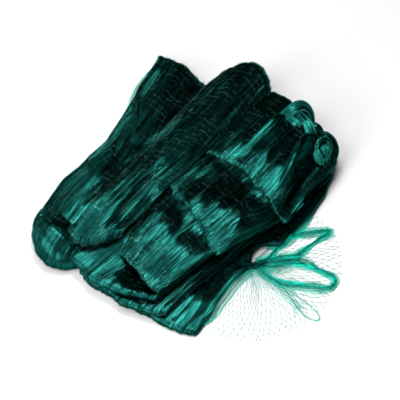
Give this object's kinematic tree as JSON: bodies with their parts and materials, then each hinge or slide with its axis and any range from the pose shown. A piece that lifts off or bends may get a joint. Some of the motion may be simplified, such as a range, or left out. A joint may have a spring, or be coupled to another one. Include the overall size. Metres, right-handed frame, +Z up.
{
  "type": "folded fishing net",
  "caption": "Folded fishing net of fine dark green netting: a low heap of gathered layers laid back and forth, with a loose corner spread flat as a fan of open meshes.",
  "frame": {"origin": "middle of the net's box, on the floor it lies on", "axes": "+Y from the rolled front of the heap to its back, +X towards the side where the fan lies, +Z up"},
  "size_m": [0.4602, 0.5159, 0.0875],
  "materials": {
    "net": "silky knotted nylon netting, dark green"
  },
  "bodies": {
    "root": {"folded_net": "net"}
  },
  "joints": []
}
